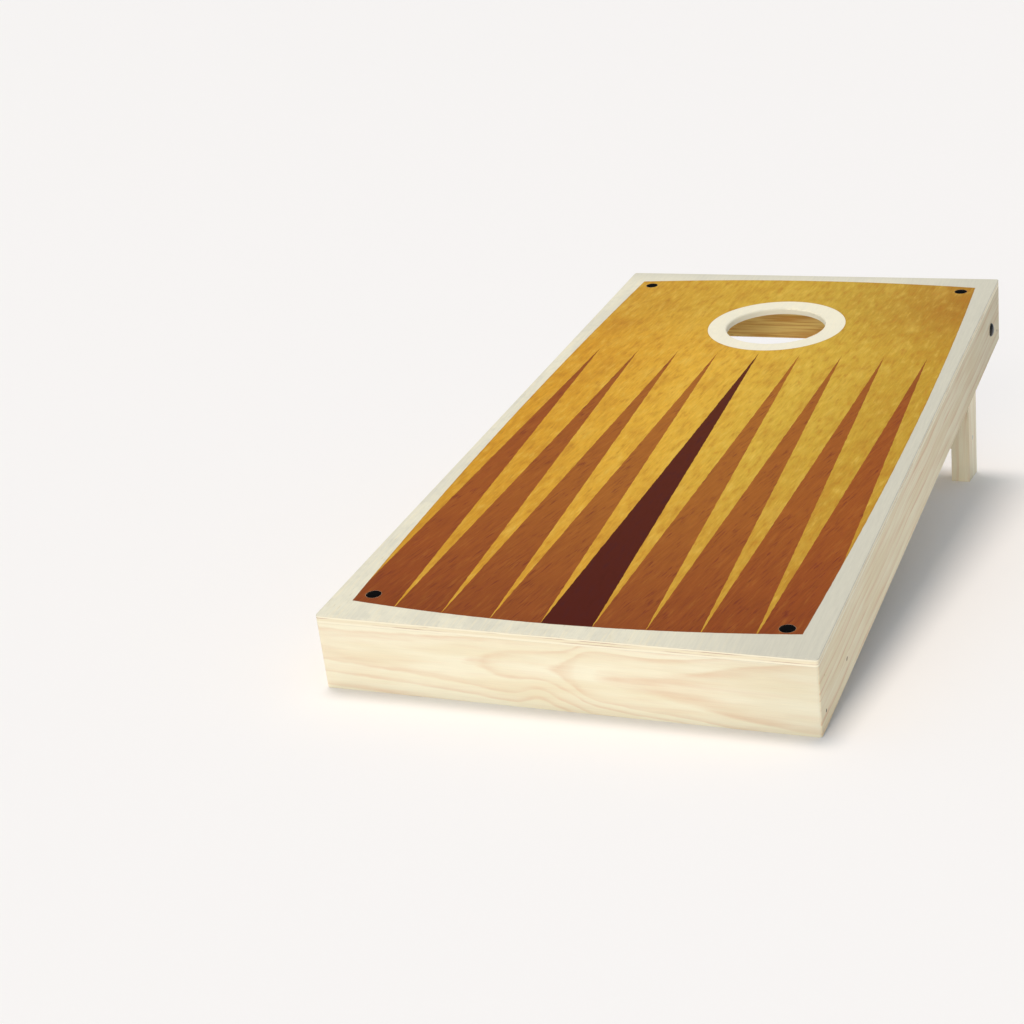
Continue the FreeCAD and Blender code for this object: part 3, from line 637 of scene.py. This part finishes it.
def deck_material():
    paint = Paint("printed_plywood_deck")
    x, y = paint.x, paint.y
    bare, bare_streak = veneer(paint, 11)
    gold, gold_streak = gold_colour(paint)
    wobble = paint.noise((x, 9), (y, 14), detail=2.0, seed=12) * 2.0 - 1.0
    spike, number = spikes(paint, wobble)
    is_centre = paint.math("COMPARE", number, 0, 0.5)
    dark = paint.mix(is_centre, tan_colour(paint, number), maroon_colour(paint))
    ink = paint.mix(spike, gold, dark)
    from_hole = paint.reach(x - RING_SHIFT, y - HOLE_Y)
    bare = paint.mix(paint.smooth(from_hole, RING_RADIUS + 2, RING_RADIUS) * 0.5, bare, PLY_FACE)
    from_end = paint.least(abs(y - BUMPER_FROM_END), abs(y - LENGTH + BUMPER_FROM_END))
    from_bumper = paint.reach(abs(x) - BUMPER_FROM_MIDDLE, from_end)
    gap = paint.least(
        field_gap(paint) + wobble * 0.5, from_hole - RING_RADIUS, from_bumper - BUMPER_CLEARING)
    ink = paint.mix(paint.smooth(gap, 2.2, 0) * 0.3, ink, GOLD_SMUDGE)
    printed = paint.smooth(gap, -0.3, 0.3)
    depth = DECK_TOP - paint.z
    off_wall = paint.smooth(from_hole, HOLE_WALL_RADIUS, HOLE_WALL_RADIUS + 4)
    edge = paint.mix(off_wall, PLY_FACE, ply_edge(paint, depth))
    below_top = paint.smooth(depth, TOP_FACE_DEPTH, TOP_FACE_DEPTH + 0.4)
    colour = paint.mix(below_top, paint.mix(printed, bare, ink), edge)
    underside = paint.smooth(depth, DECK_THICKNESS - 0.4, DECK_THICKNESS - 0.1)
    colour = paint.mix(underside, colour, veneer(paint, 61)[0])
    height = bare_streak * 0.6 + gold_streak * 0.4
    rough = 0.6 - printed * 0.08
    return paint.finish(colour, rough, height, PRINT_RELIEF, Specular_IOR_Level=MATT_SPECULAR)


assign("deck", deck_material())


# ------------------------------------------------------------------ rubber and metal

def black_rubber_material():
    paint = Paint("black_rubber")
    grit = paint.noise((paint.x, 0.8), (paint.y, 0.8), (paint.z, 0.8), detail=3.0, seed=71)
    dust = paint.noise((paint.x, 4), (paint.y, 4), (paint.z, 4), detail=3.0, seed=72)
    colour = paint.mix(paint.smooth(dust, 0.5, 0.8) * 0.25, tone(6, 6, 6), tone(30, 28, 26))
    return paint.finish(colour, grit * 0.2 + 0.7, grit, 0.05, Specular_IOR_Level=MATT_SPECULAR)


def black_steel_material():
    paint = Paint("black_steel")
    speck = paint.noise((paint.x, 0.7), (paint.y, 0.7), (paint.z, 0.7), detail=3.0, seed=73)
    worn = paint.noise((paint.x, 3), (paint.y, 3), (paint.z, 3), detail=4.0, seed=74)
    colour = paint.mix(paint.smooth(worn, 0.62, 0.8) * 0.5, tone(11, 11, 12), tone(90, 86, 82))
    return paint.finish(colour, worn * 0.25 + 0.15, speck, 0.03, Metallic=0.3)


def zinc_material():
    paint = Paint("zinc_steel")
    spangle = paint.noise((paint.x, 1.6), (paint.y, 1.6), (paint.z, 1.6), detail=2.0, seed=75)
    scratch = paint.noise((paint.x, 0.3), (paint.y, 6), (paint.z, 0.3), detail=2.0, seed=76)
    colour = paint.mix(paint.smooth(spangle, 0.35, 0.7), tone(196, 196, 192), tone(222, 214, 190))
    return paint.finish(colour, scratch * 0.3 + 0.22, scratch, 0.02, Metallic=1.0)


BLACK_STEEL = black_steel_material()
ZINC = zinc_material()
MATERIAL_OF_SLOT = {
    "black_rubber": black_rubber_material(),
    "black_steel": BLACK_STEEL,
    "zinc_steel": ZINC,
}
for part in frame["record"]["subparts"]:
    if part["material_slot"] in MATERIAL_OF_SLOT:
        assign(part["node"], MATERIAL_OF_SLOT[part["material_slot"]])
assign("mitre_nails", BLACK_STEEL)


# ------------------------------------------------------------------------ eased edges

def smooth_faces():
    """A geometry group that shades every face smooth."""
    group = bpy.data.node_groups.new("smooth_faces", "GeometryNodeTree")
    group.interface.new_socket("Mesh", in_out="INPUT", socket_type="NodeSocketGeometry")
    group.interface.new_socket("Mesh", in_out="OUTPUT", socket_type="NodeSocketGeometry")
    start = group.nodes.new("NodeGroupInput")
    shade = group.nodes.new("GeometryNodeSetShadeSmooth")
    end = group.nodes.new("NodeGroupOutput")
    group.links.new(start.outputs[0], shade.inputs[0])
    group.links.new(shade.outputs[0], end.inputs[0])
    return group


SMOOTH_FACES = smooth_faces()
FLAT_ANGLE = math.radians(0.5)
SHARP_ANGLE = math.radians(38)


def ease_edges(name, width, segments=2):
    """Round the sharp edges of a CAD node, by modifiers only. width is in millimetres."""
    piece = NODES[name]
    weld = piece.modifiers.new("weld", "WELD")
    weld.merge_threshold = 0.01 * MM
    flatten = piece.modifiers.new("flatten", "DECIMATE")
    flatten.decimate_type = "DISSOLVE"
    flatten.angle_limit = FLAT_ANGLE
    bevel = piece.modifiers.new("bevel", "BEVEL")
    bevel.width = width * MM
    bevel.segments = segments
    bevel.limit_method = "ANGLE"
    bevel.angle_limit = SHARP_ANGLE
    bevel.miter_outer = "MITER_ARC"
    shade = piece.modifiers.new("smooth", "NODES")
    shade.node_group = SMOOTH_FACES
    normals = piece.modifiers.new("normals", "WEIGHTED_NORMAL")
    normals.weight = 100
    normals.keep_sharp = False


EASED = {"rail": 0.7, "block": 0.8, "brace": 0.8, "leg": 1.5, "leg_crossbar": 1.2, "wing_nut": 0.4,
         "washer": 0.2}
for piece_name in NODES:
    for ending, width in EASED.items():
        if piece_name.endswith(ending):
            ease_edges(piece_name, width)
            break


# ------------------------------------------------------------------- turned hardware

ROUND_SIDES = 48
SCREW_SIDES = 16
BOLT_RADIUS = 4.76
BOLT_PITCH = 1.5875
BOLT_THREAD_DEPTH = 0.9
BOLT_THREAD_LENGTH = 38.0
BOLT_HEAD_RADIUS = 10.3
BOLT_HEAD_HEIGHT = 5.0
BOLT_RIM = 0.8
BOLT_EDGE = 0.15
NECK_LENGTH = 6.0
NECK_TAPER = 0.8
SCREW_PITCH = 2.6
SCREW_RADIUS = 1.95
FEWEST_SCREW_POINTS = 20
DRIVE_HALF = 1.25
DRIVE_DEPTH = 1.5
PAN_HEAD = (1.6, 2.4)
FLAT_HEAD = (0.6, 4.4)


def squared_off(radius, angle):
    """Radius of a square bar's outline with eased corners."""
    flat = radius / max(abs(math.cos(angle)), abs(math.sin(angle)))
    return min(flat, radius * 1.34)


def turned(mesh, place, stations, sides):
    """Add a lathed body. A station is its distance along, radius, squareness and thread."""
    rings = []
    for along, radius, square, thread in stations:
        ring = []
        for index in range(sides):
            angle = 2 * math.pi * index / sides
            reach = squared_off(radius, angle) if square else radius
            if thread:
                depth, pitch = thread
                phase = (along / pitch - index / sides) % 1
                reach -= depth * abs(2 * phase - 1)
            spot = Vector((along, reach * math.cos(angle), reach * math.sin(angle))) * MM
            ring.append(mesh.verts.new(place @ spot))
        rings.append(ring)
    mesh.faces.new(rings[0])
    mesh.faces.new(list(reversed(rings[-1])))
    for first, second in zip(rings, rings[1:]):
        for index in range(sides):
            after = (index + 1) % sides
            mesh.faces.new((first[index], second[index], second[after], first[after]))


def thread_stations(start, end, radius, depth, pitch, steps):
    """Stations of a screw thread that fades in at its start and is cut back at its end."""
    stations = []
    count = int((end - start) / pitch * steps)
    for index in range(count + 1):
        along = start + (end - start) * index / count
        grown = min(1.0, (along - start) / (2 * pitch))
        tapered = min(0.0, end - along - pitch)
        stations.append((along, radius + tapered * 0.6, False, (depth * grown, pitch)))
    return stations


def bolt_stations(length):
    """Carriage bolt: low dome, rim, square neck, plain shank and thread."""
    dome = BOLT_HEAD_HEIGHT - BOLT_RIM
    stations = []
    for degrees in (3, 10, 20, 30, 40, 50, 60, 70, 80, 88):
        angle = math.radians(degrees)
        stations.append((dome * (1 - math.cos(angle)), BOLT_HEAD_RADIUS * math.sin(angle), False, None))
    neck_end = BOLT_HEAD_HEIGHT + NECK_LENGTH
    thread_start = length - BOLT_THREAD_LENGTH
    stations += [
        (dome + 0.1, BOLT_HEAD_RADIUS, False, None),
        (BOLT_HEAD_HEIGHT - BOLT_EDGE, BOLT_HEAD_RADIUS, False, None),
        (BOLT_HEAD_HEIGHT, BOLT_HEAD_RADIUS - BOLT_EDGE, False, None),
        (BOLT_HEAD_HEIGHT, BOLT_RADIUS + 0.3, True, None),
        (BOLT_HEAD_HEIGHT + 0.3, BOLT_RADIUS, True, None),
        (neck_end - NECK_TAPER, BOLT_RADIUS, True, None),
        (neck_end, BOLT_RADIUS, False, None),
        (thread_start - 0.2, BOLT_RADIUS, False, None),
    ]
    stations += thread_stations(
        thread_start, length - 0.5, BOLT_RADIUS, BOLT_THREAD_DEPTH, BOLT_PITCH, 8)
    stations.append((length, BOLT_RADIUS - 1.3, False, None))
    return stations


def screw_stations(length, head_radius, shank_radius, flat_head):
    """Wood screw with a square drive. A flat head is a cone, the other is a pan washer head."""
    rim_end, head_end = FLAT_HEAD if flat_head else PAN_HEAD
    stations = [
        (DRIVE_DEPTH, DRIVE_HALF * 0.5, True, None),
        (DRIVE_DEPTH, DRIVE_HALF * 0.9, True, None),
        (0.1, DRIVE_HALF, True, None),
        (0.0, DRIVE_HALF + 0.15, True, None),
        (0.0, head_radius - 0.25, False, None),
        (0.2, head_radius, False, None),
        (rim_end, head_radius, False, None),
        (head_end, shank_radius, False, None),
        (length * 0.35, shank_radius * 0.75, False, None),
    ]
    stations += thread_stations(
        length * 0.36, length - 3.0, shank_radius, shank_radius * 0.33, SCREW_PITCH, 5)
    stations.append((length, 0.15, False, None))
    return stations


def finish_hardware(mesh, name, replaced, body, material):
    bmesh.ops.recalc_face_normals(mesh, faces=mesh.faces)
    data = bpy.data.meshes.new(name)
    mesh.to_mesh(data)
    mesh.free()
    data.materials.append(material)
    data.shade_smooth()
    data.set_sharp_from_angle(angle=math.radians(35))
    piece = bpy.data.objects.new(name, data)
    bpy.context.scene.collection.objects.link(piece)
    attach(piece, body)
    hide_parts(replaced)


def islands(node):
    """The separate bodies of a CAD node, each a list of points."""
    mesh = bmesh.new()
    mesh.from_mesh(NODES[node].data)
    bmesh.ops.remove_doubles(mesh, verts=mesh.verts, dist=0.002 * MM)
    left = set(mesh.verts)
    groups = []
    while left:
        waiting = [left.pop()]
        group = []
        while waiting:
            vertex = waiting.pop()
            group.append(vertex.co.copy())
            for edge in vertex.link_edges:
                other = edge.other_vert(vertex)
                if other in left:
                    left.remove(other)
                    waiting.append(other)
        groups.append(group)
    mesh.free()
    return sorted(groups, key=lambda group: tuple(round(value, 4) for value in group[0]))


def screw_ends(points):
    """Middle of a screw's head face, its tip and its largest radius, from its points."""
    cloud = np.array(points)
    axis = np.linalg.svd(cloud - cloud.mean(0), full_matrices=False)[2][0]
    along = cloud @ axis
    radial = cloud - np.outer(along, axis)
    ends = []
    for near in (along < along.min() + MM / 2, along > along.max() - MM / 2):
        centre = (radial[near].min(0) + radial[near].max(0)) / 2
        spread = np.linalg.norm(radial[near] - centre, axis=1).max()
        limit = along.min() if along[near].mean() < along.mean() else along.max()
        ends.append((spread, Vector(centre + axis * limit)))
    ends.sort(key=lambda end: -end[0])
    return ends[0][1], ends[1][1], ends[0][0] / MM


def build_screws(node, body, flat_head):
    mesh = bmesh.new()
    for points in islands(node):
        if len(points) < FEWEST_SCREW_POINTS:
            continue
        head, tip, head_radius = screw_ends(points)
        way = (tip - head).normalized().to_track_quat("X", "Z").to_matrix().to_4x4()
        length = (tip - head).length / MM
        stations = screw_stations(length, head_radius, SCREW_RADIUS, flat_head)
        turned(mesh, Matrix.Translation(head) @ way, stations, SCREW_SIDES)
    finish_hardware(mesh, node + "_driven", node, body, ZINC)


def build_bolt(side):
    node = side + "_pivot_bolt"
    low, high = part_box(node)
    outward = -1 if side == "left" else 1
    head = low.x if outward < 0 else high.x
    middle = (low + high) / 2
    place = Matrix.Translation((head, middle.y, middle.z)) @ Matrix.Rotation(TILT, 4, "X")
    place = place @ Matrix.Diagonal((-outward, 1, 1, 1))
    mesh = bmesh.new()
    turned(mesh, place, bolt_stations((high.x - low.x) / MM), ROUND_SIDES)
    finish_hardware(mesh, side + "_carriage_bolt", node, "root", BLACK_STEEL)


for side in SIDES:
    build_bolt(side)
build_screws("deck_screws", "root", flat_head=False)
build_screws("brace_screws", "root", flat_head=False)
build_screws("block_screws", "root", flat_head=True)
build_screws("crossbar_screws", "leg_frame", flat_head=True)


# ------------------------------------------------------------------------- the studio

SKY_LEFT = (0.56, 0.63, 0.68, 1)
SKY_RIGHT = (0.31, 0.37, 0.43, 1)
BACKDROP = (0.935, 0.895, 0.870, 1)
FLOOR_COLOUR = (0.95, 0.91, 0.89, 1)
FLOOR_SIZE = 800
CAMERA_AZIMUTH = math.radians(21.8)
CAMERA_ELEVATION = math.radians(15.45)
CAMERA_ROLL = math.radians(2.40)
CAMERA_DISTANCE = 2.767
CAMERA_LENS = 69.57
CAMERA_SENSOR = 36
CAMERA_SHIFT = -0.039
AIM_FROM_MIDDLE = Vector((-0.1996, -0.0999, -0.0674))


def add_world():
    """Even light from all round, and the floor's own colour where the camera sees it."""
    world = bpy.data.worlds.new("studio")
    bpy.context.scene.world = world
    world.use_nodes = True
    nodes = world.node_tree.nodes
    links = world.node_tree.links
    background = nodes["Background"]
    direction = nodes.new("ShaderNodeTexCoord")
    split = nodes.new("ShaderNodeSeparateXYZ")
    rightward = nodes.new("ShaderNodeMapRange")
    rightward.inputs["From Min"].default_value = -1
    light = nodes.new("ShaderNodeMix")
    light.data_type = "RGBA"
    light.inputs[6].default_value = SKY_LEFT
    light.inputs[7].default_value = SKY_RIGHT
    seen = nodes.new("ShaderNodeLightPath")
    shade = nodes.new("ShaderNodeMix")
    shade.data_type = "RGBA"
    shade.inputs[7].default_value = BACKDROP
    links.new(direction.outputs["Generated"], split.inputs[0])
    links.new(split.outputs["X"], rightward.inputs["Value"])
    links.new(rightward.outputs[0], light.inputs[0])
    links.new(light.outputs[2], shade.inputs[6])
    links.new(seen.outputs["Is Camera Ray"], shade.inputs[0])
    links.new(shade.outputs[2], background.inputs["Color"])


def add_sun(name, energy, softness, colour, azimuth, elevation):
    """A soft light from far off. Azimuth 0 comes from the front, 90 from the right."""
    data = bpy.data.lights.new(name, "SUN")
    data.energy = energy
    data.angle = math.radians(softness)
    data.color = colour
    sun = bpy.data.objects.new(name, data)
    bpy.context.scene.collection.objects.link(sun)
    sun.rotation_euler = (math.radians(90 - elevation), 0, math.radians(azimuth))


def add_floor():
    bpy.ops.mesh.primitive_plane_add(size=FLOOR_SIZE)
    floor = bpy.context.object
    floor.name = "floor"
    material = bpy.data.materials.new("floor")
    material.use_nodes = True
    shader = material.node_tree.nodes["Principled BSDF"]
    shader.inputs["Base Color"].default_value = FLOOR_COLOUR
    shader.inputs["Roughness"].default_value = 0.9
    shader.inputs["Specular IOR Level"].default_value = 0.1
    floor.data.materials.append(material)


def add_camera():
    low, high = CAD_BOX
    aim = (low + high) / 2 + AIM_FROM_MIDDLE
    turn = Matrix.Rotation(CAMERA_AZIMUTH, 4, "Z")
    turn = turn @ Matrix.Rotation(math.pi / 2 - CAMERA_ELEVATION, 4, "X")
    turn = turn @ Matrix.Rotation(-CAMERA_ROLL, 4, "Z")
    back = turn.to_3x3() @ Vector((0, 0, CAMERA_DISTANCE))
    data = bpy.data.cameras.new("camera")
    data.sensor_width = CAMERA_SENSOR
    data.lens = CAMERA_LENS
    data.shift_x = CAMERA_SHIFT
    camera = bpy.data.objects.new("camera", data)
    bpy.context.scene.collection.objects.link(camera)
    camera.matrix_world = Matrix.Translation(aim + back) @ turn
    bpy.context.scene.camera = camera


add_world()
add_sun("key", energy=1.52, softness=22, colour=(1.0, 0.91, 0.82), azimuth=-115, elevation=81)
add_sun("fill", energy=0.99, softness=24, colour=(1.0, 0.95, 0.88), azimuth=4, elevation=14)
add_floor()
add_camera()
bpy.context.scene.view_settings.view_transform = "Standard"
